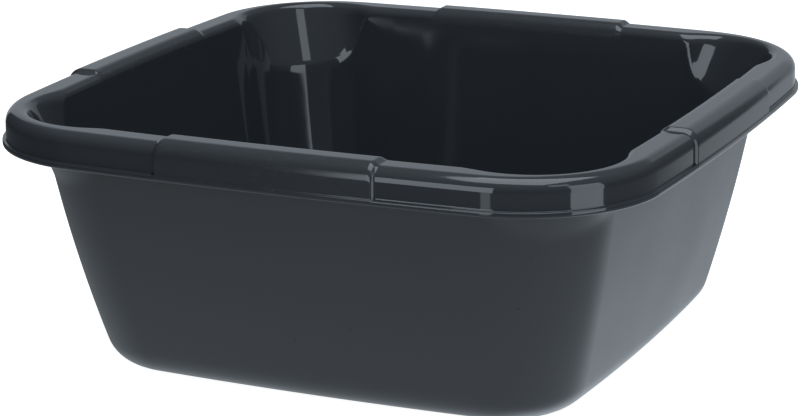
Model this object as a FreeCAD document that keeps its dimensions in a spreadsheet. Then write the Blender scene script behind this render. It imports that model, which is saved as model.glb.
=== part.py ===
import FreeCAD, Part
import math
import os
import Sketcher

# A square washing-up bowl with rounded corners: a tapering basin, a turned-over hollow rim with a
# lip at its foot, a raised grip in the middle of each side and a scooped pouring corner between grips.
# Millimetres, +Z up, +X to the right along the front side, origin on the ground under the middle.

os.makedirs("parts", exist_ok=True)
doc = FreeCAD.newDocument("washing_up_bowl")

# Driving sizes, one cell each
SIZES = {
    "bowl_width": 380.0,       # across the lips, at the middle of the sides
    "bowl_height": 147.0,      # ground to rim top, without the grips
    "lip_corner": 76.0,        # plan radius of the lip at the corners
    "lip_sweep": 2320.0,       # plan radius of the slightly bowed sides
    "wall": 2.2,               # thickness of the walls and of the rim
    "base_width": 280.0,       # where the walls would meet the ground
    "base_corner": 47.0,       # plan radii there
    "base_sweep": 1700.0,
    "base_round": 20.0,        # outer radius between walls and base
    "wall_bulge": 2.6,         # how far the walls swell at half height
    "floor_top": 3.2,          # height of the floor inside
    "recess": 0.8,             # depth of the hollow under the base
    "standing_ring": 9.0,      # base round to that hollow, in plan
    "rim_reach": 23.6,         # lip to inner face of the wall, in plan
    "rim_depth": 19.2,         # rim top to the underside of the lip
    "rim_shoulder": 7.0,       # outer radius of the rim top
    "rim_roll": 5.3,           # inner radius of the rim top
    "rim_leg": 1.2,            # upright of the rim below that radius, on the basin's edge
    "lip_height": 3.0,
    "lip_reach": 1.9,          # lip beyond the skirt
    "grip_length": 126.0,
    "grip_rise": 2.0,          # grip above the rim top
    "grip_step": 1.5,          # grip beyond the skirt
    "grip_ramp": 3.5,          # length of the slope at each grip end
    "scoop_inset": 23.4,       # lip to the widest reach of a scoop, in plan
    "scoop_radius": 44.6,      # scoop at the edge of the basin
    "scoop_angle": 23.4,       # degrees, how far a scoop leans outwards
    "scoop_flare": 5.0,        # radius of the scoop's top edge
    "overrun": 5.0,            # how far every cut runs past its piece
}

sheet = doc.addObject("Spreadsheet::Sheet", "sizes")
for row, (alias, size) in enumerate(SIZES.items(), start=1):
    sheet.set(f"A{row}", alias)
    sheet.set(f"B{row}", str(size))
    sheet.setAlias(f"B{row}", alias)
doc.recompute()

# Heights and places that follow from the driving sizes, as formulas
SEAT = "(sizes.bowl_height - sizes.rim_roll - sizes.rim_leg)"
LIP_FOOT = "(sizes.bowl_height - sizes.rim_depth)"
SCOOP_PLACE = "(sizes.bowl_width / 2 - sizes.scoop_inset - sizes.scoop_radius)"
SCOOP_WALL = "(sizes.scoop_radius + sizes.wall / cos(sizes.scoop_angle))"
SCOOP_LEAN = "tan(sizes.scoop_angle)"
SCOOP_DEPTH = f"({SEAT} / 2)"
GRIP_END = "(sizes.grip_length / 2)"
RAISED_END = f"({GRIP_END} - sizes.grip_ramp)"
BEYOND = "(sizes.bowl_width / 2 + sizes.overrun)"

SECTION_SHARES = (1, 0.5, 0)  # wall sections from the seat down to the foot, of that height
LEVEL_SHARE = 1e-4            # of a piece's extent: how closely a face has to lie in a plane


def value(formula):
    return float(sheet.evalExpression(formula))


def rim_line(inset):
    # half width, corner radius and side radius of a line that runs at an inset inside the lip
    return (f"(sizes.bowl_width / 2 - ({inset}))",
            f"(sizes.lip_corner - ({inset}))",
            f"(sizes.lip_sweep - ({inset}))")


def base_line(inset):
    # the same three for a line inside the one where the walls would meet the ground
    return (f"(sizes.base_width / 2 - ({inset}))",
            f"(sizes.base_corner - ({inset}))",
            f"(sizes.base_sweep - ({inset}))")


def wall_line(height, inset):
    # the same three for a line inside the outside of the walls at a height
    rise = f"(({height}) / {SEAT})"
    swell = f"4 * sizes.wall_bulge * {rise} * (1 - {rise})"
    ends = zip(base_line(inset), rim_line(f"sizes.rim_reach - sizes.wall + {inset}"))
    half, corner, sweep = [f"({low} + ({high} - {low}) * {rise})" for low, high in ends]
    return f"({half} + {swell})", corner, sweep


def origin_part(body, role):
    return next(part for part in body.Origin.OriginFeatures if part.Role == role)


def sketch_on(body, name, plane, *offset):
    # an empty sketch on an origin plane, moved by formulas along the plane's own x, y and normal
    sketch = body.newObject("Sketcher::SketchObject", name)
    sketch.AttachmentSupport = (origin_part(body, plane), [""])
    sketch.MapMode = "FlatFace"
    for axis, formula in zip("xyz", offset):
        sketch.setExpression(f"AttachmentOffset.Base.{axis}", formula)
    return sketch


def bind(sketch, formula, kind, *where):
    index = sketch.addConstraint(Sketcher.Constraint(kind, *where, value(formula)))
    sketch.setExpression(f"Constraints[{index}]", formula)


def add_bowed_square(sketch, line):
    # four long side arcs joined by four corner arcs, all tangent, about the sketch's origin
    half, corner, sweep = [value(formula) for formula in line]
    reach = sweep - half
    middle = (math.sqrt(2 * (sweep - corner) ** 2 - reach ** 2) - reach) / 2
    lean = math.asin(middle / (sweep - corner))
    up = FreeCAD.Vector(0, 0, 1)
    sides = []
    corners = []
    for quarter in range(4):
        turn = math.pi / 2 * (quarter - 1)
        side_centre = FreeCAD.Vector(-reach * math.cos(turn), -reach * math.sin(turn), 0)
        corner_centre = FreeCAD.Vector(middle * (math.cos(turn) - math.sin(turn)),
                                       middle * (math.sin(turn) + math.cos(turn)), 0)
        side = Part.ArcOfCircle(Part.Circle(side_centre, up, sweep), turn - lean, turn + lean)
        bend = Part.ArcOfCircle(Part.Circle(corner_centre, up, corner),
                                turn + lean, turn + math.pi / 2 - lean)
        sides.append(sketch.addGeometry(side))
        corners.append(sketch.addGeometry(bend))
    for quarter in range(4):
        following = sides[(quarter + 1) % 4]
        sketch.addConstraint(Sketcher.Constraint("Tangent", sides[quarter], 2, corners[quarter], 1))
        sketch.addConstraint(Sketcher.Constraint("Tangent", corners[quarter], 2, following, 1))
    for quarter in range(1, 4):
        sketch.addConstraint(Sketcher.Constraint("Equal", sides[0], sides[quarter]))
        sketch.addConstraint(Sketcher.Constraint("Equal", corners[0], corners[quarter]))
    for quarter, axis in enumerate((-2, -1, -2, -1)):
        sketch.addConstraint(Sketcher.Constraint("PointOnObject", sides[quarter], 3, axis))
    bind(sketch, line[1], "Radius", corners[0])
    bind(sketch, line[2], "Radius", sides[0])
    centre_reach = f"{line[2]} - {line[0]}"
    bind(sketch, centre_reach, "DistanceY", -1, 1, sides[0], 3)
    bind(sketch, centre_reach, "DistanceX", sides[1], 3, -1, 1)
    bind(sketch, centre_reach, "DistanceY", sides[2], 3, -1, 1)
    bind(sketch, centre_reach, "DistanceX", -1, 1, sides[3], 3)


def outline(body, name, height, *lines):
    sketch = sketch_on(body, name, "XY_Plane", "0", "0", height)
    for line in lines:
        add_bowed_square(sketch, line)
    return sketch


def pad(body, name, profile, length):
    feature = body.newObject("PartDesign::Pad", name)
    feature.Profile = profile
    feature.setExpression("Length", length)
    return feature


def pocket_up(body, name, profile, length):
    feature = body.newObject("PartDesign::Pocket", name)
    feature.Profile = profile
    feature.Reversed = True
    feature.setExpression("Length", length)
    return feature


def level_edges(shape, height, outer):
    # names of the edges round the outside, or round the openings, of the largest face at a height
    slack = shape.BoundBox.ZLength * LEVEL_SHARE
    level = [face for face in shape.Faces
             if max(abs(face.BoundBox.ZMin - height), abs(face.BoundBox.ZMax - height)) < slack]
    face = max(level, key=lambda found: found.Area)
    wires = [wire for wire in face.Wires if wire.isSame(face.OuterWire) == outer]
    wanted = [edge for wire in wires for edge in wire.Edges]
    return [f"Edge{index}" for index, edge in enumerate(shape.Edges, start=1)
            if any(edge.isSame(other) for other in wanted)]


def round_edges(body, name, height, outer, radius):
    doc.recompute()
    base = body.Tip
    feature = body.newObject("PartDesign::Fillet", name)
    feature.Base = (base, level_edges(base.Shape, value(height), outer))
    feature.setExpression("Radius", radius)
    return feature


def four_corners(body, feature):
    # repeats a corner feature a quarter turn apart
    pattern = body.newObject("PartDesign::PolarPattern", feature.Name + "s")
    pattern.Originals = [feature]
    pattern.Axis = (origin_part(body, "Z_Axis"), [""])
    pattern.Angle = 360
    pattern.Occurrences = 4
    body.Tip = pattern


def corner_bar(body, name, radius):
    # a round bar that leans in each corner: a level circle at the seat, run down and inwards from there
    circle = sketch_on(body, f"{name}_circle", "XY_Plane", SCOOP_PLACE, f"-{SCOOP_PLACE}", SEAT)
    circle.addGeometry(Part.Circle(FreeCAD.Vector(), FreeCAD.Vector(0, 0, 1), value(radius)))
    circle.addConstraint(Sketcher.Constraint("Coincident", 0, 3, -1, 1))
    bind(circle, radius, "Radius", 0)
    bar = pad(body, name, circle, SCOOP_DEPTH)
    bar.UseCustomVector = True
    bar.AlongSketchNormal = True
    bar.setExpression("Direction.x", f"-{SCOOP_LEAN} * cos(45 deg)")
    bar.setExpression("Direction.y", f"{SCOOP_LEAN} * sin(45 deg)")
    bar.setExpression("Direction.z", "-1")
    four_corners(body, bar)


def corner_cone(body, name, foot, low, high, length):
    # an upright cone over the scoop of each corner
    cone = body.newObject("PartDesign::AdditiveCone", name)
    cone.AttachmentSupport = (origin_part(body, "XY_Plane"), [""])
    cone.MapMode = "FlatFace"
    cone.setExpression("AttachmentOffset.Base.x", SCOOP_PLACE)
    cone.setExpression("AttachmentOffset.Base.y", f"-{SCOOP_PLACE}")
    cone.setExpression("AttachmentOffset.Base.z", foot)
    cone.setExpression("Radius1", low)
    cone.setExpression("Radius2", high)
    cone.setExpression("Height", length)
    four_corners(body, cone)


def tapered_block(name, foot, inset, round_radius, scoop_radius):
    # a block that follows the walls from a foot height up to the rim's seat, with a rounded foot
    # and a leaning bar in each corner that swells it
    body = doc.addObject("PartDesign::Body", name)
    heights = [f"({foot} + ({SEAT} - {foot}) * {share})" for share in SECTION_SHARES]
    sections = [outline(body, f"{name}_{level}", height, wall_line(height, inset))
                for level, height in zip(("top", "middle", "foot"), heights)]
    walls = body.newObject("PartDesign::AdditiveLoft", f"{name}_walls")
    walls.Profile = sections[0]
    walls.Sections = sections[1:]
    round_edges(body, f"{name}_edge", foot, True, round_radius)
    corner_bar(body, f"{name}_scoop", scoop_radius)
    return body


def make_basin():
    # floor, walls and scooped corners, up to the level edge that carries the rim
    outside = tapered_block("outside", "0", "0", "sizes.base_round", SCOOP_WALL)
    recess_line = base_line("sizes.base_round + sizes.standing_ring")
    recess = outline(outside, "recess_line", "0", recess_line)
    pocket_up(outside, "base_recess", recess, "sizes.recess")
    inside = tapered_block("inside", "sizes.floor_top", "sizes.wall",
                           "sizes.base_round - sizes.wall", "sizes.scoop_radius")
    basin = doc.addObject("Part::Cut", "basin")
    basin.Base = outside
    basin.Tool = inside
    return basin


def cut_scoop_edge(body):
    # the scoop's cone through the rim, flared to the rim top: half its section, turned about its axis
    sketch = sketch_on(body, "flare_section", "XZ_Plane", SCOOP_PLACE, "0", SCOOP_PLACE)
    lean = math.radians(value("sizes.scoop_angle"))
    flare = value("sizes.scoop_flare")
    top = value("sizes.bowl_height")
    foot_height = f"{SEAT} - sizes.overrun"
    roof_height = "sizes.bowl_height + sizes.overrun"
    foot_radius = f"sizes.scoop_radius - sizes.overrun * {SCOOP_LEAN}"
    low = value(foot_height)
    high = value(roof_height)
    low_radius = value(foot_radius)
    meet_height = top - flare + flare * math.sin(lean)
    meet_radius = low_radius + (meet_height - low) * math.tan(lean)
    centre = FreeCAD.Vector(meet_radius + flare * math.cos(lean), top - flare, 0)
    corners = [FreeCAD.Vector(0, low, 0), FreeCAD.Vector(low_radius, low, 0),
               FreeCAD.Vector(meet_radius, meet_height, 0)]
    crest = [FreeCAD.Vector(centre.x, top, 0), FreeCAD.Vector(centre.x, high, 0),
             FreeCAD.Vector(0, high, 0)]
    foot = sketch.addGeometry(Part.LineSegment(corners[0], corners[1]))
    slope = sketch.addGeometry(Part.LineSegment(corners[1], corners[2]))
    circle = Part.Circle(centre, FreeCAD.Vector(0, 0, 1), flare)
    edge = sketch.addGeometry(Part.ArcOfCircle(circle, math.pi / 2, math.pi - lean))
    side = sketch.addGeometry(Part.LineSegment(crest[0], crest[1]))
    roof = sketch.addGeometry(Part.LineSegment(crest[1], crest[2]))
    axis = sketch.addGeometry(Part.LineSegment(crest[2], corners[0]))
    meetings = ((foot, 2, slope, 1), (edge, 1, side, 1), (side, 2, roof, 1), (roof, 2, axis, 1),
                (axis, 2, foot, 1))
    for meeting in meetings:
        sketch.addConstraint(Sketcher.Constraint("Coincident", *meeting))
    sketch.addConstraint(Sketcher.Constraint("Tangent", slope, 2, edge, 2))
    sketch.addConstraint(Sketcher.Constraint("Horizontal", foot))
    sketch.addConstraint(Sketcher.Constraint("Horizontal", roof))
    sketch.addConstraint(Sketcher.Constraint("Vertical", side))
    sketch.addConstraint(Sketcher.Constraint("Vertical", axis))
    sketch.addConstraint(Sketcher.Constraint("PointOnObject", axis, 1, -2))
    sketch.addConstraint(Sketcher.Constraint("Vertical", edge, 3, edge, 1))
    bind(sketch, "sizes.scoop_flare", "Radius", edge)
    bind(sketch, foot_radius, "DistanceX", foot, 1, foot, 2)
    bind(sketch, foot_height, "DistanceY", -1, 1, foot, 1)
    bind(sketch, "sizes.bowl_height", "DistanceY", -1, 1, edge, 1)
    bind(sketch, roof_height, "DistanceY", -1, 1, roof, 2)
    slope_angle = sketch.addConstraint(Sketcher.Constraint("Angle", slope, math.pi / 2 - lean))
    sketch.setExpression(f"Constraints[{slope_angle}]", "90 deg - sizes.scoop_angle * 1 deg")
    groove = body.newObject("PartDesign::Groove", "scoop_edge")
    groove.Profile = sketch
    groove.ReferenceAxis = (sketch, ["V_Axis"])
    groove.Angle = 360
    four_corners(body, groove)


def make_rim(name, step, rise, scooped):
    # a closed ring of turned-over rim: lip, skirt, rounded top and the short leg on the basin's edge
    body = doc.addObject("PartDesign::Body", name)
    skirt_inset = f"sizes.lip_reach - {step}"
    channel_line = rim_line(f"{skirt_inset} + sizes.wall")
    top = f"sizes.bowl_height + {rise}"
    pad(body, "lip", outline(body, "lip_line", LIP_FOOT, rim_line("0")), "sizes.lip_height")
    skirt = outline(body, "skirt_line", LIP_FOOT, rim_line(skirt_inset))
    pad(body, "skirt", skirt, f"sizes.rim_depth + {rise}")
    leg_line = rim_line("sizes.rim_reach - sizes.wall")
    roof = f"{top} - sizes.wall"
    channel = outline(body, "channel_lines", LIP_FOOT, channel_line, leg_line)
    pocket_up(body, "channel", channel, f"{roof} - {LIP_FOOT}")
    round_edges(body, "channel_shoulder", roof, True, f"sizes.rim_shoulder + {step} - sizes.wall")
    round_edges(body, "channel_roll", roof, False, f"sizes.rim_roll + {rise} - sizes.wall")
    round_edges(body, "shoulder", top, True, f"sizes.rim_shoulder + {step}")
    if scooped:
        filled = f"(sizes.bowl_height - sizes.wall / 2 - {SEAT})"
        corner_cone(body, "scoop_wall", f"{SEAT} - sizes.overrun",
                    f"{SCOOP_WALL} - sizes.overrun * {SCOOP_LEAN}",
                    f"{SCOOP_WALL} + {filled} * {SCOOP_LEAN}", f"{filled} + sizes.overrun")
    under = outline(body, "under_line", LIP_FOOT, rim_line(f"{skirt_inset} + 2 * sizes.wall"))
    pocket_up(body, "under", under, f"{SEAT} - {LIP_FOOT}")
    opening = outline(body, "opening_line", SEAT, rim_line("sizes.rim_reach"))
    pocket_up(body, "opening", opening, f"{top} + sizes.overrun - {SEAT}")
    round_edges(body, "roll", top, False, f"sizes.rim_roll + {rise}")
    if scooped:
        cut_scoop_edge(body)
    return body


def cutter(name, left, right, front, back):
    # a tall block over the rim between two x and two y formulas
    block = doc.addObject("Part::Box", name)
    block.setExpression("Placement.Base.x", left)
    block.setExpression("Placement.Base.y", front)
    block.setExpression("Placement.Base.z", f"{LIP_FOOT} - sizes.overrun")
    block.setExpression("Length", f"{right} - ({left})")
    block.setExpression("Width", f"{back} - ({front})")
    block.setExpression("Height", "sizes.rim_depth + sizes.grip_rise + 2 * sizes.overrun")
    return block


def length_of(ring, name, *limits):
    # the length of a ring of rim that lies within those limits
    piece = doc.addObject("Part::Common", name)
    piece.Base = ring
    piece.Tool = cutter(f"{name}_limits", *limits)
    return piece


def end_wire(shape, place):
    # outline of the cut face that a length of rim has at an x
    slack = shape.BoundBox.XLength * LEVEL_SHARE
    face = next(face for face in shape.Faces
                if max(abs(face.BoundBox.XMin - place), abs(face.BoundBox.XMax - place)) < slack)
    return face.OuterWire


def make_grip_shape(middle, right_corner, left_corner):
    # the raised length with a slope at each end, down to the section of the rim beside it
    raised = value(RAISED_END)
    level = value(GRIP_END)
    slopes = []
    for corner, sense in ((right_corner, 1), (left_corner, -1)):
        wires = [end_wire(middle.Shape, sense * raised), end_wire(corner.Shape, sense * level)]
        slopes.append(Part.makeLoft(wires, True, True))
    return middle.Shape.fuse(slopes).removeSplitter()


basin = make_basin()
rim = make_rim("rim", "0", "0", True)
grip_rim = make_rim("grip_rim", "sizes.grip_step", "sizes.grip_rise", False)

# Between the grips, each corner is a length of the scooped rim
NEAR = (f"-{BEYOND}", f"-{GRIP_END}")
FAR = (GRIP_END, BEYOND)
corners = {
    "front_right": length_of(rim, "rim_corner_front_right", *FAR, *NEAR),
    "back_right": length_of(rim, "rim_corner_back_right", *FAR, *FAR),
    "back_left": length_of(rim, "rim_corner_back_left", *NEAR, *FAR),
    "front_left": length_of(rim, "rim_corner_front_left", *NEAR, *NEAR),
}

# The four grips are alike, a quarter turn apart
grip_middle = length_of(grip_rim, "grip_middle", f"-{RAISED_END}", RAISED_END, f"-{BEYOND}", "0")
doc.recompute()
grip_shape = make_grip_shape(grip_middle, corners["front_right"], corners["front_left"])
grips = []
for quarter, side in enumerate(("front", "right", "back", "left")):
    grip = doc.addObject("Part::Feature", f"grip_{side}")
    grip.Shape = grip_shape
    turn = FreeCAD.Rotation(FreeCAD.Vector(0, 0, 1), 90 * quarter)
    grip.Placement = FreeCAD.Placement(FreeCAD.Vector(), turn)
    grips.append(grip)
doc.recompute()

for item in doc.Objects:
    if "Invalid" in item.State or "Error" in item.State:
        raise RuntimeError(f"{item.Name} failed: {item.State}")
nodes = [basin, *corners.values(), *grips]
for node in nodes:
    node.Label = node.Name
    if node.Shape.isNull() or not node.Shape.isValid() or len(node.Shape.Solids) != 1:
        raise RuntimeError(f"{node.Label} is not one valid solid")
for node in nodes:
    node.Shape.exportStep(f"parts/{node.Label}.step")
    print(node.Label, round(node.Shape.Volume), "mm3")
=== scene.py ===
import math

import bpy
import numpy as np
from mathutils import Matrix, Vector


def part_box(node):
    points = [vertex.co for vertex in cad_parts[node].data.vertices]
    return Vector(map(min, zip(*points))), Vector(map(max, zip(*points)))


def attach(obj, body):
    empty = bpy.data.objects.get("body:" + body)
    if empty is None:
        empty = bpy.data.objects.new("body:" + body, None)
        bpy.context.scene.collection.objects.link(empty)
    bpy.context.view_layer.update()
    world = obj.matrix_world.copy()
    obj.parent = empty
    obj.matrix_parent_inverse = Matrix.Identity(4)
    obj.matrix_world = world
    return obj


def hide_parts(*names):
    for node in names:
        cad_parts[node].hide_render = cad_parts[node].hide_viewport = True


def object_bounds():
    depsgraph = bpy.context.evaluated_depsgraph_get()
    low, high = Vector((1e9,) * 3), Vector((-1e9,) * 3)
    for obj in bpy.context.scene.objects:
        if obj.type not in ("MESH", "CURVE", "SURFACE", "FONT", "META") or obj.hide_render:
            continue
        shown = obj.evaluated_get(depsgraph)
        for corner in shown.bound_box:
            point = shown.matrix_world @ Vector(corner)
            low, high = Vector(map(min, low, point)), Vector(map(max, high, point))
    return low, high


# Looks of a square washing-up bowl, one moulding in dark grey polypropylene: polished inside and round
# the pouring corners, satin outside, and rubbed smooth on the four grips. Shapes are worked out in
# millimetres on the frame's own axes (+X right along the front, +Z up, ground at 0) and put into the
# meshes in metres.

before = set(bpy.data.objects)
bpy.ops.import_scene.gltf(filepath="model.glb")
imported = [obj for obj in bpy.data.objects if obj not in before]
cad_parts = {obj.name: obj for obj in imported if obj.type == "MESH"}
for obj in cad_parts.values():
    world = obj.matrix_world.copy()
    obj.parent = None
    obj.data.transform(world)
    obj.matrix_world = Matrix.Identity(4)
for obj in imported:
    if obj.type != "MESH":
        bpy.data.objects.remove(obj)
cadLow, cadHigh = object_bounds()
scene = bpy.context.scene
mm = 0.001
print("frame loaded:", ", ".join(sorted(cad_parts)))


# The bowl's outline, seen from above and along its walls
plan = {
    "half": cadHigh.x / mm,                  # lip at the middle of a side, from the bowl's axis
    "corner": 76.0,                          # radius of the lip at a corner
    "sweep": 2320.0,                         # radius of the lip along a side, slightly bowed
    "footHalf": 140.0,                       # the same three where the walls would meet the ground
    "footCorner": 47.0,
    "footSweep": 1700.0,
    "bulge": 2.6,                            # walls swell this far at half height
    "wall": 2.2,
    "reach": 23.6,                           # lip to the inner face of the wall
    "seat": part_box("basin")[1].z / mm,       # where the basin ends and the rim begins
}


def squareTurns(half, corner, sweep):
    # centre of the corner arcs and half the angle of a side arc, from tangency of the two
    reach = sweep - half
    middle = (np.sqrt(2 * (sweep - corner) ** 2 - reach ** 2) - reach) / 2
    return middle, np.arcsin(middle / (sweep - corner))


lipLean = squareTurns(plan["half"], plan["corner"], plan["sweep"])[1]
sideLength = plan["sweep"] * lipLean                             # middle of a side to the corner arc
eighthLength = sideLength + plan["corner"] * (np.pi / 4 - lipLean)   # on to the middle of the corner
sideShare = sideLength / eighthLength


def fromSideMiddle(turn):
    # distance along the lip from the middle of the nearest side
    return np.abs(2 * (turn - np.floor(turn + 0.5))) * eighthLength


def planLine(half, corner, sweep, turn):
    # Bowed square: a long side arc, then a corner arc, all tangent. turn grows by one per side, whole
    # at the middle of a side (0 in front, 1 right), and gives points and outward normals.
    side = np.floor(turn + 0.5)
    along = 2 * (turn - side)
    middle, lean = squareTurns(half, corner, sweep)
    onSide = np.abs(along) <= sideShare
    straight = np.clip(np.abs(along) / sideShare, 0, 1)
    bent = np.clip((np.abs(along) - sideShare) / (1 - sideShare), 0, 1)
    swing = np.sign(along) * (lean * straight + (np.pi / 4 - lean) * bent)
    radius = np.where(onSide, sweep, corner)
    out = np.where(onSide, half - sweep, middle) + radius * np.cos(swing)
    across = np.where(onSide, 0, np.sign(along) * middle) + radius * np.sin(swing)
    face = np.pi / 2 * (side - 1)
    return (out * np.cos(face) - across * np.sin(face), out * np.sin(face) + across * np.cos(face),
            np.cos(face + swing), np.sin(face + swing))


def wallSizes(height, inset):
    # half width, corner and sweep of the wall at a height: straight from foot to seat, plus a parabola
    rise = height / plan["seat"]
    foot = [plan[name] - inset for name in ("footHalf", "footCorner", "footSweep")]
    head = [plan[name] - plan["reach"] + plan["wall"] - inset for name in ("half", "corner", "sweep")]
    half, corner, sweep = [low + (high - low) * rise for low, high in zip(foot, head)]
    return half + 4 * plan["bulge"] * rise * (1 - rise), corner, sweep


def wallSlope(height, inset, turn):
    # how far the wall moves out along its normal per millimetre of height
    step = 0.1
    low = planLine(*wallSizes(height - step, inset), turn)
    high = planLine(*wallSizes(height, inset), turn)
    return ((high[0] - low[0]) * high[2] + (high[1] - low[1]) * high[3]) / step


# The scooped pouring corners: in each corner a round bar that leans outwards swells the wall
scoopAngle = math.radians(23.4)
scoop = {
    "place": 122.0,                          # middle of its circle at the seat, along x and y
    "radius": 44.6,
    "lean": math.tan(scoopAngle),            # outwards, per millimetre of height
    "skin": plan["wall"] / math.cos(scoopAngle),   # wall thickness on the level
    "crest": 50.7,                           # radius of its edge at the rim top
    "insideBlend": 0.8,                      # how softly the scoop runs into the wall
    "outsideBlend": 0.8,
    "rimBlend": 2.4, "rimBlendRise": 5.0,    # and into the rim, from this far above the seat
    "step": 0.1, "stepRun": 0.3,             # slight ledge inside, just above the wall
    "stepFade": 3.6,                         # reach over which the ledge is lost again
    "missed": -100.0,                        # reach where a normal passes a scoop by
}


def flared(height, top, lean):
    # reach of the scoop above the seat: a line with that lean, then an arc that is level at the crest
    angle = math.atan(lean)
    rise = top - plan["seat"]
    radius = (scoop["crest"] - scoop["radius"] - rise * lean) / math.tan(math.pi / 4 - angle / 2)
    centre = top - radius
    arc = scoop["crest"] - np.sqrt(np.maximum(radius ** 2 - (height - centre) ** 2, 0))
    line = scoop["radius"] + (height - plan["seat"]) * lean
    return np.where(height > centre + radius * math.sin(angle), arc, line)


def scoopCircle(height, top):
    # level section of the scoop: how far its middle has moved outwards from the place, and its radius.
    # Above the seat they follow from the reach to the corner and the reach to either side.
    ahead = flared(height, top, scoop["lean"])
    beside = flared(height, top, 0.0)
    radius = (ahead ** 2 + beside ** 2) / (2 * ahead)
    low = height <= plan["seat"]
    return (np.where(low, (height - plan["seat"]) * scoop["lean"], ahead - radius),
            np.where(low, scoop["radius"], radius))


def scoopReach(x, y, nx, ny, moved, radius):
    # how far the scoop's circle lies beyond a point, along the point's normal
    place = scoop["place"] + moved / math.sqrt(2)
    dx, dy = x - np.copysign(place, x), y - np.copysign(place, y)
    along = dx * nx + dy * ny
    room = radius ** 2 - dx ** 2 - dy ** 2 + along ** 2
    return np.where(room > 0, np.sqrt(np.maximum(room, 0)) - along, scoop["missed"])


def softRamp(reach, blend):
    # max(reach, 0) with a parabola over the last blend millimetres on both sides of the bend
    near = np.maximum(blend - np.abs(reach), 0) / blend
    return np.maximum(reach, 0) + near ** 2 * blend / 4


def smoothStep(share):
    # from 0 to 1 with a level start and end: 3 s squared less 2 s cubed
    share = np.clip(share, 0, 1)
    return share * share * (3 - 2 * share)


def stations(*stretches):
    # distances along an eighth of the lip: each stretch runs on to an end in about equal steps
    found, start = [np.zeros(1)], 0.0
    for end, step in stretches:
        count = max(1, round((end - start) / step))
        found.append(start + (end - start) * np.arange(1, count + 1) / count)
        start = end
    return np.concatenate(found)


def gridFaces(rows, columns, wrapRows, wrapColumns):
    # quads of a grid of points, numbered row by row, closed round either way
    r = np.arange(rows if wrapRows else rows - 1)[:, None]
    c = np.arange(columns if wrapColumns else columns - 1)[None, :]
    below, beside = (r + 1) % rows, (c + 1) % columns
    quads = [r * columns + c, r * columns + beside, below * columns + beside, below * columns + c]
    return np.stack(quads, -1).reshape(-1, 4)


crispAngle = math.radians(42)                # edges sharper than this aren't shaded smooth


def addPiece(name, points, faces, coats, coatOfFace=None):
    # a mesh in metres with its coats, smooth but for its crisp edges, carried by the bowl
    mesh = bpy.data.meshes.new(name)
    mesh.from_pydata((points * mm).tolist(), [], faces, shade_flat=False)
    for coat in coats:
        mesh.materials.append(coat)
    if coatOfFace is not None:
        mesh.polygons.foreach_set("material_index", coatOfFace)
    mesh.set_sharp_from_angle(angle=crispAngle)
    mesh.update()
    piece = bpy.data.objects.new(name, mesh)
    scene.collection.objects.link(piece)
    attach(piece, "root")
    return piece


# Materials

def linear(hexColour):
    # sRGB hex to the linear colour that the shader takes
    parts = [int(hexColour[i:i + 2], 16) / 255 for i in (1, 3, 5)]
    return [p / 12.92 if p <= 0.04045 else ((p + 0.055) / 1.055) ** 2.4 for p in parts] + [1.0]


def addNode(tree, kind, sockets=None, **settings):
    # one node: its settings, then a value or a link for each named socket
    node = tree.nodes.new(kind)
    for name, setting in settings.items():
        setattr(node, name, setting)
    for name, given in (sockets or {}).items():
        if isinstance(given, bpy.types.NodeSocket):
            tree.links.new(given, node.inputs[name])
        else:
            node.inputs[name].default_value = given
    return node


def newMaterial(name):
    # a material and its node tree, with no node yet
    material = bpy.data.materials.new(name)
    material.use_nodes = True
    material.node_tree.nodes.clear()
    return material, material.node_tree


def markScale(size):
    # pattern scale for marks of that size in millimetres, on Object coordinates in metres
    return 1 / (size * mm)


def noiseDepth(depth):
    # bump distance for a depth in millimetres, as a noise swings through about a quarter of its range
    return depth * mm * 4


# Polypropylene from a polished mould: sharp reflections that wander a little where the wall shrank
# unevenly, with a few grains of dust
polished = {
    "colour": "#2b2d30", "dust": "#4c5053", "ior": 1.49,
    "roughness": (0.04675, 0.06875), "hazeSize": 11.5, "hazeRange": (0.35, 0.7),   # clear to hazy
    "waveSize": 46.0, "waveDepth": 0.012,    # shrinkage waves, millimetres
    "dustSize": 12.0,                        # spacing of the grains
    "dustShare": (0.034, 0.0204),            # a grain's edge and core, as parts of that
    "dustStrength": 0.5,
}
# Polypropylene from a spark-eroded mould: a fine even grain that blurs every reflection into a soft shine
satin = {
    "colour": "#232527", "paler": "#282a2c", "ior": 1.49,
    "roughness": (0.3348, 0.3852), "cloudSize": 70.0, "cloudRange": (0.3, 0.7),
    "grainSize": 1.3, "grainDepth": 0.006,   # drawn about twice as coarse as it is, or it wouldn't show
    "speck": "#0c0d0f", "speckSize": 15.0, "speckShare": (0.032, 0.0224),   # grit moulded in
}
# The same grain rubbed smooth by hands: a blurred gloss with short fine scuffs
handled = {
    "colour": "#2b2d30", "paler": "#383b3e", "ior": 1.49,
    "roughness": (0.13, 0.221),              # rubbed, and in a scuff
    "grainSize": 1.1, "grainDepth": 0.0014,
    "scuffSize": 4.0, "scuffDepth": 0.002, "scuffRange": (0.56, 0.76),
    "scuffStretch": 2.5,                     # longer along the grip than up it
}


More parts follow.
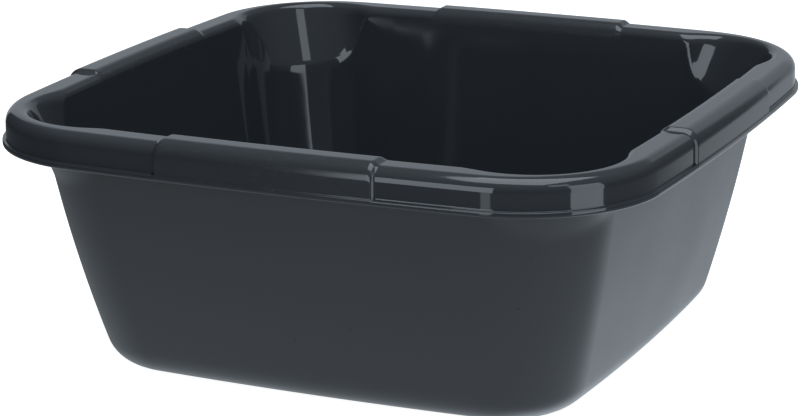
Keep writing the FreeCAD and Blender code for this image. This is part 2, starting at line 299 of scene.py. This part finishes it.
def polishedMaterial(look):
    material, tree = newMaterial("polypropylene_polished")
    place = addNode(tree, "ShaderNodeTexCoord").outputs["Object"]
    wave = addNode(tree, "ShaderNodeTexNoise", {
        "Vector": place, "Scale": markScale(look["waveSize"]), "Detail": 1.0, "Roughness": 0.3})
    haze = addNode(tree, "ShaderNodeTexNoise", {
        "Vector": place, "Scale": markScale(look["hazeSize"]), "Detail": 4.0, "Roughness": 0.6})
    grains = addNode(tree, "ShaderNodeTexVoronoi", {
        "Vector": place, "Scale": markScale(look["dustSize"]), "Randomness": 1.0})
    grain = addNode(tree, "ShaderNodeMapRange", {
        "Value": grains.outputs["Distance"], "From Min": look["dustShare"][0],
        "From Max": look["dustShare"][1], "To Min": 0.0, "To Max": look["dustStrength"]})
    colour = addNode(tree, "ShaderNodeMixRGB", {
        "Fac": grain.outputs["Result"], "Color1": linear(look["colour"]), "Color2": linear(look["dust"])})
    gloss = addNode(tree, "ShaderNodeMapRange", {
        "Value": haze.outputs["Fac"], "From Min": look["hazeRange"][0], "From Max": look["hazeRange"][1],
        "To Min": look["roughness"][0], "To Max": look["roughness"][1]})
    bump = addNode(tree, "ShaderNodeBump", {
        "Height": wave.outputs["Fac"], "Strength": 1.0, "Distance": noiseDepth(look["waveDepth"])})
    shader = addNode(tree, "ShaderNodeBsdfPrincipled", {
        "Base Color": colour.outputs["Color"], "Roughness": gloss.outputs["Result"],
        "Normal": bump.outputs["Normal"], "IOR": look["ior"]})
    addNode(tree, "ShaderNodeOutputMaterial", {"Surface": shader.outputs["BSDF"]})
    return material


def satinMaterial(look):
    material, tree = newMaterial("polypropylene_satin")
    place = addNode(tree, "ShaderNodeTexCoord").outputs["Object"]
    cloud = addNode(tree, "ShaderNodeTexNoise", {
        "Vector": place, "Scale": markScale(look["cloudSize"]), "Detail": 3.0, "Roughness": 0.55})
    grain = addNode(tree, "ShaderNodeTexNoise", {
        "Vector": place, "Scale": markScale(look["grainSize"]), "Detail": 3.0, "Roughness": 0.6})
    specks = addNode(tree, "ShaderNodeTexVoronoi", {
        "Vector": place, "Scale": markScale(look["speckSize"]), "Randomness": 1.0})
    speck = addNode(tree, "ShaderNodeMapRange", {
        "Value": specks.outputs["Distance"], "From Min": look["speckShare"][0],
        "From Max": look["speckShare"][1]})
    plain = addNode(tree, "ShaderNodeMixRGB", {
        "Fac": cloud.outputs["Fac"], "Color1": linear(look["colour"]), "Color2": linear(look["paler"])})
    colour = addNode(tree, "ShaderNodeMixRGB", {
        "Fac": speck.outputs["Result"], "Color1": plain.outputs["Color"], "Color2": linear(look["speck"])})
    clouded = addNode(tree, "ShaderNodeMapRange", {
        "Value": cloud.outputs["Fac"], "From Min": look["cloudRange"][0], "From Max": look["cloudRange"][1],
        "To Min": look["roughness"][0], "To Max": look["roughness"][1]})
    gloss = addNode(tree, "ShaderNodeMath", {                    # a speck has no shine
        0: clouded.outputs["Result"], 1: speck.outputs["Result"]}, operation="MAXIMUM")
    bump = addNode(tree, "ShaderNodeBump", {
        "Height": grain.outputs["Fac"], "Strength": 1.0, "Distance": noiseDepth(look["grainDepth"])})
    shader = addNode(tree, "ShaderNodeBsdfPrincipled", {
        "Base Color": colour.outputs["Color"], "Roughness": gloss.outputs["Value"],
        "Normal": bump.outputs["Normal"], "IOR": look["ior"]})
    addNode(tree, "ShaderNodeOutputMaterial", {"Surface": shader.outputs["BSDF"]})
    return material


def handledMaterial(look):
    material, tree = newMaterial("polypropylene_handled")
    place = addNode(tree, "ShaderNodeTexCoord").outputs["Object"]
    grain = addNode(tree, "ShaderNodeTexNoise", {
        "Vector": place, "Scale": markScale(look["grainSize"]), "Detail": 3.0, "Roughness": 0.6})
    level = addNode(tree, "ShaderNodeMapping", {"Vector": place, "Scale": (1.0, 1.0, look["scuffStretch"])})
    scuffs = addNode(tree, "ShaderNodeTexNoise", {
        "Vector": level.outputs["Vector"], "Scale": markScale(look["scuffSize"]), "Detail": 5.0,
        "Roughness": 0.7, "Distortion": 0.8})
    scuff = addNode(tree, "ShaderNodeMapRange", {
        "Value": scuffs.outputs["Fac"], "From Min": look["scuffRange"][0], "From Max": look["scuffRange"][1]})
    colour = addNode(tree, "ShaderNodeMixRGB", {
        "Fac": scuff.outputs["Result"], "Color1": linear(look["colour"]), "Color2": linear(look["paler"])})
    gloss = addNode(tree, "ShaderNodeMapRange", {
        "Value": scuff.outputs["Result"], "To Min": look["roughness"][0], "To Max": look["roughness"][1]})
    fine = addNode(tree, "ShaderNodeBump", {
        "Height": grain.outputs["Fac"], "Strength": 1.0, "Distance": noiseDepth(look["grainDepth"])})
    bump = addNode(tree, "ShaderNodeBump", {
        "Height": scuff.outputs["Result"], "Strength": 1.0, "Distance": look["scuffDepth"] * mm,
        "Normal": fine.outputs["Normal"]})
    shader = addNode(tree, "ShaderNodeBsdfPrincipled", {
        "Base Color": colour.outputs["Color"], "Roughness": gloss.outputs["Result"],
        "Normal": bump.outputs["Normal"], "IOR": look["ior"]})
    addNode(tree, "ShaderNodeOutputMaterial", {"Surface": shader.outputs["BSDF"]})
    return material


polishedCoat = polishedMaterial(polished)
satinCoat = satinMaterial(satin)
gripCoat = handledMaterial(handled)
print("materials:", len(bpy.data.materials))


# Basin: floor, walls and scooped corners, as one shell from the middle of the floor over the seat to
# the middle of the base
basin = {
    "stretches": ((60.0, 5.4), (96.0, 3.2), (104.0, 1.4), (113.0, 0.4), (124.0, 0.95),
                  (eighthLength, 1.7)),      # end and step along an eighth, finest where a scoop ends
    "aboveCrease": (0, 0.04, 0.11, 0.2, 0.3, 0.41, 0.53, 0.65, 0.75, 0.83, 0.885, 0.925, 0.952, 0.972,
                    0.986, 0.995),           # row shares, seat to crease
    "belowCrease": (0, 0.004, 0.012, 0.028, 0.055, 0.09, 0.13, 0.175, 0.22, 0.27, 0.32, 0.37, 0.42, 0.48,
                    0.54, 0.6, 0.66, 0.72, 0.78, 0.84, 0.9, 0.96, 1),   # and on to the foot
    "creaseHalvings": 40,
    "creaseGap": 0.4,                        # below the seat, where the crease runs out
    "creaseFall": 24.0, "creaseRun": 45.0,   # beside a scoop its rows sink so far, over that run
    "footRound": 20.0,                       # outside, between wall and ground
    "footSlopeAt": 0.75,                     # of that radius: height at which the wall's lean is taken
    "footRows": 12,
    "floorTop": 3.2,
    "recess": 0.8,                           # hollow under the base
    "ring": 9.0,                             # foot round to that hollow
    "recessRound": 0.4, "recessRows": 5,
    "floorShares": (0.985, 0.9, 0.75, 0.55, 0.35, 0.16),   # floor rows, from the wall to the middle
    "coreDraft": 0.031,                      # in the corners the inside stands this much steeper
    "coreDepth": 56.0,                       # down to about this far below the crease
    "coreStart": 92.0, "coreRun": 34.0,      # along an eighth, where that sets in
}


def ringTurns(halfStations):
    # the whole bowl, from the front left corner round to it again, without the repeated end
    eighth = halfStations / eighthLength / 2
    side = np.concatenate([-eighth[::-1], eighth[1:-1]])
    return np.concatenate([side + quarter for quarter in range(4)])


def creaseHeight(inset, skin, turn):
    # height where the scoop leaves the wall, halved down between the seat and the middle of the wall;
    # beside a scoop it falls off smoothly instead, so that the rows stay even
    low, high = np.full(turn.shape, plan["seat"] / 2), np.full(turn.shape, plan["seat"])
    for _ in range(basin["creaseHalvings"]):
        height = (low + high) / 2
        x, y, nx, ny = planLine(*wallSizes(height, inset), turn)
        reach = scoopReach(x, y, nx, ny, (height - plan["seat"]) * scoop["lean"], scoop["radius"] + skin)
        low, high = np.where(reach > 0, low, height), np.where(reach > 0, height, high)
    along = fromSideMiddle(turn)
    highest = plan["seat"] - basin["creaseGap"]
    found = high < highest
    beside = np.clip((along[found].min() - along) / basin["creaseRun"], 0, 1)
    return np.where(found, high, highest - basin["creaseFall"] * beside)


def wallRows(inset, ground, footRound, skin, blend, turn, draft, step):
    # One skin of the wall for every turn: rows from the seat to the scoop's crease and on to where the
    # foot's arc begins, each point on the wall line plus the scoop beyond it; then the arc to the ground.
    # draft thins the corners downwards, and step lifts the scoop's beginning a little off the wall.
    seat = plan["seat"]
    slope = wallSlope(ground + basin["footSlopeAt"] * footRound, inset, turn)
    lean = np.arctan(slope)
    meet = ground + footRound * (1 - np.sin(lean))
    crease = creaseHeight(inset, skin, turn)
    above, below = (np.array(basin[name])[:, None] for name in ("aboveCrease", "belowCrease"))
    height = np.concatenate([seat + (crease - seat) * above, crease + (meet - crease) * below])
    cornerShare = smoothStep((fromSideMiddle(turn) - basin["coreStart"]) / basin["coreRun"])
    depth = basin["coreDepth"] * np.tanh(np.maximum(crease - height, 0) / basin["coreDepth"])
    x, y, nx, ny = planLine(*wallSizes(height, inset - draft * cornerShare * depth), turn[None, :])
    reach = scoopReach(x, y, nx, ny, (height - seat) * scoop["lean"], scoop["radius"] + skin)
    beyond = np.maximum(reach, 0)
    ledge = step * (1 - np.exp(-beyond / scoop["stepRun"])) * np.exp(-(beyond / scoop["stepFade"]) ** 2)
    out = softRamp(reach, blend) + ledge
    wall = np.stack([x + out * nx, y + out * ny, height], -1)
    angle = np.linspace(0, 1, basin["footRows"] + 1)[1:, None] * (np.pi / 2 - lean) + lean
    back = footRound * (np.cos(lean) - np.cos(angle))            # inward from the arc's beginning
    arc = np.stack([x[-1] - back * nx[-1], y[-1] - back * ny[-1],
                    ground + footRound * (1 - np.sin(angle))], -1)
    return np.concatenate([wall, arc])


def levelRows(last, shares, height):
    # rows shrunk towards the axis at one height
    flat = last[None, :, :] * np.array(shares)[:, None, None]
    flat[..., 2] = height
    return flat


def recessRows(turn):
    # the step up into the hollow under the base: a round out of the ring, then one into the hollow's roof
    inset = basin["footRound"] + basin["ring"]
    edge = [plan[name] - inset for name in ("footHalf", "footCorner", "footSweep")]
    x, y, nx, ny = planLine(*edge, turn)
    angle = np.linspace(0, np.pi / 2, basin["recessRows"])[:, None]
    radius = basin["recessRound"]
    convex = [radius * (1 - np.sin(angle)), radius * (1 - np.cos(angle))]    # out of the line, up
    concave = [-radius * (1 - np.cos(angle[1:])), basin["recess"] - radius + radius * np.sin(angle[1:])]
    out, up = [np.concatenate(parts) for parts in zip(convex, concave)]
    return np.stack([x + out * nx, y + out * ny, up + 0 * x], -1)


def makeBasin():
    # rows from the floor up the inside, over the seat, down the outside and under the base, with a fan
    # of triangles at either end
    turn = ringTurns(stations(*basin["stretches"]))
    inside = wallRows(plan["wall"], basin["floorTop"], basin["footRound"] - plan["wall"], 0,
                      scoop["insideBlend"], turn, basin["coreDraft"], scoop["step"])
    floor = levelRows(inside[-1], basin["floorShares"], basin["floorTop"])
    outside = wallRows(0, 0, basin["footRound"], scoop["skin"], scoop["outsideBlend"], turn, 0, 0)
    recess = recessRows(turn)
    base = levelRows(recess[-1], basin["floorShares"], basin["recess"])
    rows = np.concatenate([floor[::-1], inside[::-1], outside, recess, base])
    count, columns = rows.shape[:2]
    quads = gridFaces(count, columns, False, True)
    ends = np.array([[0, 0, basin["floorTop"]], [0, 0, basin["recess"]]])
    points = np.concatenate([rows.reshape(-1, 3), ends])
    column = np.arange(columns)
    beside = (column + 1) % columns
    lastRow = (count - 1) * columns
    floorFan = np.stack([0 * column + count * columns, beside, column], -1)
    baseFan = np.stack([0 * column + count * columns + 1, column + lastRow, beside + lastRow], -1)
    insideRows = len(floor) + len(inside)
    coat = np.concatenate([np.repeat(np.arange(count - 1) >= insideRows, columns),
                           np.zeros(columns), np.ones(columns)]).astype(np.int32)
    # the rows run outwards over the floor, so quads and fans are turned to face out of the plastic
    faces = quads[:, ::-1].tolist() + floorFan[:, ::-1].tolist() + baseFan[:, ::-1].tolist()
    piece = addPiece("basin_shell", points, faces, [polishedCoat, satinCoat], coat)
    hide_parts("basin")
    return piece


basinShell = makeBasin()
print("basin:", len(basinShell.data.polygons), "faces")


# Rim: turned over outwards from the seat, with a lip at its foot; hollow from below
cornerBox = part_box("rim_corner_front_right")
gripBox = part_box("grip_front")
rim = {
    "top": cornerBox[1].z / mm,
    "lipFoot": cornerBox[0].z / mm,
    "lipHeight": 3.0,
    "lipReach": 1.9,                         # lip beyond the skirt
    "lipRound": 0.7, "lipRoundShare": 0.9,   # at most this part of the lip's level top
    "lipFillet": 0.45, "lipFilletShare": 0.4,   # at most this part of the lip's reach
    "lipUnder": 0.6 * plan["wall"],          # level underside of the lip, in from the skirt
    "shoulder": 7.0,                         # outer radius of the top
    "roll": 5.3,                             # inner radius of the top
    "leg": 1.2,                              # upright above the seat, below the roll's centre
    "draft": 0.018,                          # lean of the skirt, per millimetre
    "roofGap": 0.2,                          # least level width inside the hollow
    "legShares": (0.0, 0.35, 0.7),           # rows up the leg, over the level top and down the skirt
    "levelShares": (0.06, 0.35, 0.65, 0.94),
    "skirtShares": (0.08, 0.35, 0.65, 0.92),
    "rollRows": 12, "shoulderRows": 13, "lipRows": 5,
}
gripForm = {
    "end": gripBox[1].x / mm,                # half its length
    "rise": (gripBox[1].z - cornerBox[1].z) / mm,
    "step": 1.5,                             # beyond the skirt
    "topRamp": 4.0,                          # length of the slope at each end, along the top
    "skirtRamp": 2.0,                        # and down the skirt
}
rimStretches = ((gripForm["end"] - 4.2, 3.0), (gripForm["end"] - 2.1, 0.3), (gripForm["end"], 0.21),
                (gripForm["end"] + 1.5, 0.5), (96.0, 2.2), (104.0, 1.0), (113.0, 0.4),
                (eighthLength, 1.35))        # finest on a grip's slopes and where a scoop ends
sameStation = 1e-6


def rimSection(turn, raised):
    # Two paths of rows from the seat over the top to the lip's foot, the outer face and the hollow's
    # face, of distance in from the lip and height. On a grip the section grows with a smooth step.
    toEnd = gripForm["end"] - fromSideMiddle(turn)
    topShare = smoothStep(toEnd / gripForm["topRamp"]) * raised
    skirtShare = smoothStep(toEnd / gripForm["skirtRamp"]) * raised
    seat, wall = plan["seat"], plan["wall"]
    top = rim["top"] + gripForm["rise"] * topShare
    skirt = rim["lipReach"] - gripForm["step"] * skirtShare
    shoulder = rim["shoulder"] + gripForm["step"] * skirtShare
    roll = rim["roll"] + gripForm["rise"] * topShare
    lipTop = rim["lipFoot"] + rim["lipHeight"]
    slope = wallSlope(seat, wall, turn)
    lean = np.arctan(slope)
    x, y, nx, ny = planLine(plan["half"], plan["corner"], plan["sweep"], turn)

    def rolled(leg, radius, blend, flareTop):
        # straight on from the wall, then the arc up to the level top, then out by the scoop
        start = seat + rim["leg"] + radius * np.sin(lean)
        centre = leg - slope * (start - seat) - radius * np.cos(lean)
        angle = lean + (np.pi / 2 - lean) * np.linspace(0, 1, rim["rollRows"])[:, None]
        rise = np.array(rim["legShares"])[:, None]
        inward = np.concatenate([leg - slope * (start - seat) * rise, centre + radius * np.cos(angle)])
        height = np.concatenate([seat + (start - seat) * rise, seat + rim["leg"] + radius * np.sin(angle)])
        if flareTop:
            circle = scoopCircle(height, flareTop)
        else:
            circle = 0, scoop["radius"] + scoop["skin"] + (height - seat) * scoop["lean"]
        blends = blend + (scoop["rimBlend"] - blend) * smoothStep((height - seat) / scoop["rimBlendRise"])
        return inward - softRamp(inward + scoopReach(x, y, nx, ny, *circle), blends), height

    def across(start, end, height):
        # level rows between two distances
        share = np.array(rim["levelShares"])[:, None]
        return start + (end - start) * share, height + 0 * share

    def shouldered(face, radius, height):
        # quarter arc from the level top to the skirt
        angle = np.linspace(0, np.pi / 2, rim["shoulderRows"])[:, None]
        return face + radius * (1 - np.sin(angle)), height - radius + radius * np.cos(angle)

    # outer face
    inner, innerHeight = rolled(plan["reach"], roll, scoop["insideBlend"], rim["top"])
    draftTop = rim["draft"] * (top - lipTop)
    crown = across(inner[-1], skirt + shoulder + draftTop, top)
    outer, outerHeight = shouldered(skirt, shoulder, top)
    fillet = np.minimum(rim["lipFillet"], skirt * rim["lipFilletShare"])
    bead = np.minimum(rim["lipRound"], (skirt - fillet) * rim["lipRoundShare"])
    drop = np.array(rim["skirtShares"])[:, None]
    outer = np.concatenate([outer, skirt + 0 * drop])
    outerHeight = np.concatenate([outerHeight, top - shoulder + (lipTop + fillet - top + shoulder) * drop])
    outer = outer + rim["draft"] * (outerHeight - lipTop)
    quarter = np.linspace(0, np.pi / 2, rim["lipRows"])[:, None]
    foot = rim["lipFoot"]
    lipIn = np.concatenate([
        skirt - fillet * (1 - np.cos(quarter)), bead * (1 - np.sin(quarter)),
        rim["lipRound"] * (1 - np.cos(quarter)) + 0 * skirt, skirt[None, :] + rim["lipUnder"]])
    lipUp = np.concatenate([
        lipTop + fillet * (1 - np.sin(quarter)), lipTop - bead * (1 - np.cos(quarter)),
        foot + rim["lipRound"] * (1 - np.sin(quarter)) + 0 * skirt, foot + 0 * skirt[None, :]])
    outerPath = [np.concatenate(parts) for parts in zip(
        (inner, innerHeight), crown, (outer, outerHeight), (lipIn, lipUp))]

    # face of the hollow, with as many rows in each stretch
    roof = top - wall
    legOut, legHeight = rolled(plan["reach"] - wall, roll - wall, scoop["outsideBlend"], None)
    insideFace = skirt + wall
    room = np.minimum((legOut[-1] - insideFace - rim["roofGap"]) / (shoulder - wall), 1)
    ceiling, ceilingHeight = shouldered(insideFace, (shoulder - wall) * room, roof)
    roofRows = across(legOut[-1], ceiling[0], roof)
    down = np.linspace(0, 1, len(drop) + len(lipIn) + 1)[1:, None]
    ceilingEnd = ceilingHeight[-1]
    hollowPath = [np.concatenate(parts) for parts in zip(
        (legOut, legHeight), roofRows, (ceiling, ceilingHeight),
        (insideFace + 0 * down, ceilingEnd + (foot - ceilingEnd) * down))]

    def placed(path):
        inward, height = path
        return np.stack([x - inward * nx, y - inward * ny, height], -1)

    return placed(outerPath), placed(hollowPath)


def addRimPiece(name, node, coat, turn, raised):
    # a closed loop of rows along the turns, with a ladder of quads over each end
    outer, hollow = rimSection(turn, raised)
    count, columns = outer.shape[:2]
    rows = np.concatenate([outer, hollow[::-1]])
    quads = gridFaces(2 * count, columns, True, False)
    step = np.arange(count - 1)
    far = 2 * count - 1 - step                                    # the same step on the hollow's face
    ladder = np.stack([step, step + 1, far - 1, far], -1) * columns
    faces = np.concatenate([quads[:, ::-1], ladder[:, ::-1], ladder + columns - 1])
    piece = addPiece(name, rows.reshape(-1, 3), faces.tolist(), [coat])
    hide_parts(node)


def makeRim():
    # a grip on each side, and on from its end a corner, each mirrored about its middle
    along = stations(*rimStretches)
    onGrip = along[along <= gripForm["end"] + sameStation] / eighthLength / 2
    onCorner = along[along >= gripForm["end"] - sameStation] / eighthLength / 2
    gripTurn = np.concatenate([-onGrip[:0:-1], onGrip])
    cornerTurn = np.concatenate([onCorner, 1 - onCorner[-2::-1]])
    sides = ("front", "right", "back", "left")
    corners = ("front_right", "back_right", "back_left", "front_left")
    for quarter, (side, cornerName) in enumerate(zip(sides, corners)):
        addRimPiece(f"grip_{side}_shell", f"grip_{side}", gripCoat,
                    gripTurn + quarter, 1.0)
        addRimPiece(f"rim_{cornerName}_shell", f"rim_corner_{cornerName}", polishedCoat,
                    cornerTurn + quarter, 0.0)


makeRim()
print("rim: 4 grips and 4 pouring corners")


# Studio: pale floor, soft panels, camera at the photograph's view
studio = {
    "floorHalf": 12.0, "floorDrop": 0.0003,                     # metres, as all places here
    "floorColour": "#d8d8d8", "floorGlow": 0.93,                # a white light table
    "tint": (0.9, 1.0, 1.09),                                   # cool daylight
}
# soft panels: centre, aim, width, height, brightness against white paper
panels = {
    "overhead": ((0.19, -0.22, 1.36), (0.19, -0.22, 0.0), 1.08, 1.19, 3.1),
    "frontLeft": ((-0.24, -1.6, 0.36), (-0.24, 0.0, 0.36), 0.67, 0.92, 2.8),
    "frontLow": ((-0.06, -1.6, -0.2), (-0.06, 0.0, -0.2), 0.2, 0.26, 1.25),   # as the table mirrors it
    "rightFront": ((1.09, -0.41, 0.275), (0.29, 0.19, 0.275), 0.53, 0.95, 2.2),
    "rightHigh": ((0.896, -0.68, 1.0), (-0.145, 0.148, 0.12), 0.32, 0.2, 2.0),
}
# room seen in the gloss: brightness at each elevation in degrees, towards the front, the left and the back
roomLook = {
    "front": ((-90, 0.8), (-62, 0.85), (-50, 0.88), (-40, 0.82), (-30, 0.57), (-21, 0.42), (-13, 0.17),
              (-5, 0.08), (5, 0.11), (14, 0.14), (24, 0.24), (38, 0.31), (60, 0.42)),
    "left": ((-90, 0.8), (-62, 0.85), (-50, 0.88), (-40, 0.82), (-30, 0.57), (-21, 0.34), (-13, 0.05),
             (-5, 0.03), (5, 0.05), (14, 0.06), (24, 0.09), (38, 0.14), (60, 0.3)),
    "back": ((-90, 1.6), (-62, 1.8), (-50, 1.8), (-40, 1.65), (-30, 1.35), (-21, 0.9), (-13, 0.56),
             (5, 0.46), (14, 0.54), (24, 0.54), (28, 0.36), (33, 0.26), (60, 0.32)),
    "leftEdge": (-0.3, -0.75),                                  # sideways part of the way there
    # edges of the back in degrees from straight behind, left positive, low down and from the horizon up
    "backRight": (-35, -18), "backLeft": (16, 48),
    "backRise": (-0.42, -0.16),                                 # upward part of the way between the two
    "backSoft": 0.03,                                           # half width of those edges, radians
}


def addFloor():
    # a level square just below the ground, seen by the camera alone
    half, level = studio["floorHalf"], -studio["floorDrop"]
    mesh = bpy.data.meshes.new("floor")
    mesh.from_pydata([(-half, -half, level), (half, -half, level), (half, half, level), (-half, half, level)],
                     [], [(0, 1, 2, 3)])
    floor = bpy.data.objects.new("floor", mesh)
    material, tree = newMaterial("white_table")
    shader = addNode(tree, "ShaderNodeBsdfPrincipled", {
        "Base Color": linear(studio["floorColour"]), "Roughness": 0.9,
        "Emission Color": (1, 1, 1, 1), "Emission Strength": studio["floorGlow"]})
    addNode(tree, "ShaderNodeOutputMaterial", {"Surface": shader.outputs["BSDF"]})
    mesh.materials.append(material)
    scene.collection.objects.link(floor)
    floor.visible_glossy = floor.visible_diffuse = floor.visible_shadow = False   # the room lights the bowl


def addPanel(name, place, aim, width, height, brightness):
    # a rectangular light that faces from its place to its aim, hidden from the camera
    light = bpy.data.lights.new(name, "AREA")
    light.shape = "RECTANGLE"
    light.size, light.size_y = width, height
    light.energy = brightness * math.pi * width * height         # radiance of a one-sided panel
    light.color = studio["tint"]
    lamp = bpy.data.objects.new(name, light)
    lamp.location = place
    lamp.rotation_euler = (Vector(aim) - Vector(place)).to_track_quat("-Z", "Y").to_euler()
    lamp.visible_camera = False
    scene.collection.objects.link(lamp)


def addRoom():
    # a ramp by elevation for each of the three sides, mixed by where the way points
    world = bpy.data.worlds.new("room")
    world.use_nodes = True
    tree = world.node_tree
    tree.nodes.clear()
    look = addNode(tree, "ShaderNodeTexCoord").outputs["Generated"]
    way = addNode(tree, "ShaderNodeSeparateXYZ", {"Vector": look})
    height = addNode(tree, "ShaderNodeMapRange", {
        "Value": way.outputs["Z"], "From Min": -1.0, "From Max": 1.0})
    shades = {}
    for side in ("front", "left", "back"):
        ramp = addNode(tree, "ShaderNodeValToRGB", {"Fac": height.outputs["Result"]})
        stops = ramp.color_ramp.elements
        stops.remove(stops[1])
        for index, (degrees, shade) in enumerate(roomLook[side]):
            stop = stops[0] if index == 0 else stops.new((math.sin(math.radians(degrees)) + 1) / 2)
            stop.color = [shade * tint for tint in studio["tint"]] + [1.0]
        shades[side] = ramp.outputs["Color"]
    leftwards = addNode(tree, "ShaderNodeMath", {0: way.outputs["X"], 1: -1.0}, operation="MULTIPLY")
    turned = addNode(tree, "ShaderNodeMath", {0: leftwards.outputs["Value"], 1: way.outputs["Y"]},
                     operation="ARCTAN2")
    within = []
    for name, inwards in (("backRight", 1), ("backLeft", -1)):
        low, high = [math.radians(degrees) for degrees in roomLook[name]]
        edge = addNode(tree, "ShaderNodeMapRange", {
            "Value": way.outputs["Z"], "From Min": roomLook["backRise"][0],
            "From Max": roomLook["backRise"][1], "To Min": low, "To Max": high})
        past = addNode(tree, "ShaderNodeMath", {0: turned.outputs["Value"], 1: edge.outputs["Result"]},
                       operation="SUBTRACT")
        soft = roomLook["backSoft"] * inwards
        within.append(addNode(tree, "ShaderNodeMapRange", {
            "Value": past.outputs["Value"], "From Min": -soft, "From Max": soft}))
    backShare = addNode(tree, "ShaderNodeMath", {
        0: within[0].outputs["Result"], 1: within[1].outputs["Result"]}, operation="MULTIPLY")
    leftShare = addNode(tree, "ShaderNodeMapRange", {
        "Value": way.outputs["X"], "From Min": roomLook["leftEdge"][0], "From Max": roomLook["leftEdge"][1]})
    ahead = addNode(tree, "ShaderNodeMixRGB", {
        "Fac": leftShare.outputs["Result"], "Color1": shades["front"], "Color2": shades["left"]})
    colour = addNode(tree, "ShaderNodeMixRGB", {
        "Fac": backShare.outputs["Value"], "Color1": ahead.outputs["Color"], "Color2": shades["back"]})
    sky = addNode(tree, "ShaderNodeBackground", {"Color": colour.outputs["Color"], "Strength": 1.0})
    addNode(tree, "ShaderNodeOutputWorld", {"Surface": sky.outputs["Background"]})
    scene.world = world


addFloor()
for name, panel in panels.items():
    addPanel(name, *panel)
addRoom()
scene.view_settings.view_transform = "Standard"


view = {
    "azimuth": 24.335, "elevation": 15.692, "roll": -0.471,      # degrees
    "aim": (0, 0, 75.0), "distance": 1587.7,                     # millimetres
    "focalPixels": 2794.57, "aimPixels": (14.73, 7.24),          # aim point right of and above the middle
    "frameWidth": 800,
    "sensorWidth": 36,                                           # millimetres
    "farthest": 50,                                              # metres
}


def addCamera():
    # looks along the line from the aim's azimuth and elevation, rolled about that line
    az, el, roll = (math.radians(view[name]) for name in ("azimuth", "elevation", "roll"))
    back = Vector((math.sin(az) * math.cos(el), -math.cos(az) * math.cos(el), math.sin(el)))
    right = Vector((math.cos(az), math.sin(az), 0))
    up = back.cross(right)
    right, up = (right * math.cos(roll) + up * math.sin(roll), up * math.cos(roll) - right * math.sin(roll))
    data = bpy.data.cameras.new("camera")
    data.sensor_width = view["sensorWidth"]
    data.lens = view["focalPixels"] / view["frameWidth"] * data.sensor_width
    data.shift_x, data.shift_y = (-offset / view["frameWidth"] for offset in view["aimPixels"])
    data.clip_end = view["farthest"]
    camera = bpy.data.objects.new("camera", data)
    camera.matrix_world = Matrix.Translation(Vector(view["aim"]) * mm + back * view["distance"] * mm) @ \
        Matrix((right, up, back)).transposed().to_4x4()
    scene.collection.objects.link(camera)
    scene.camera = camera


addCamera()
print("studio: floor, lights and camera")
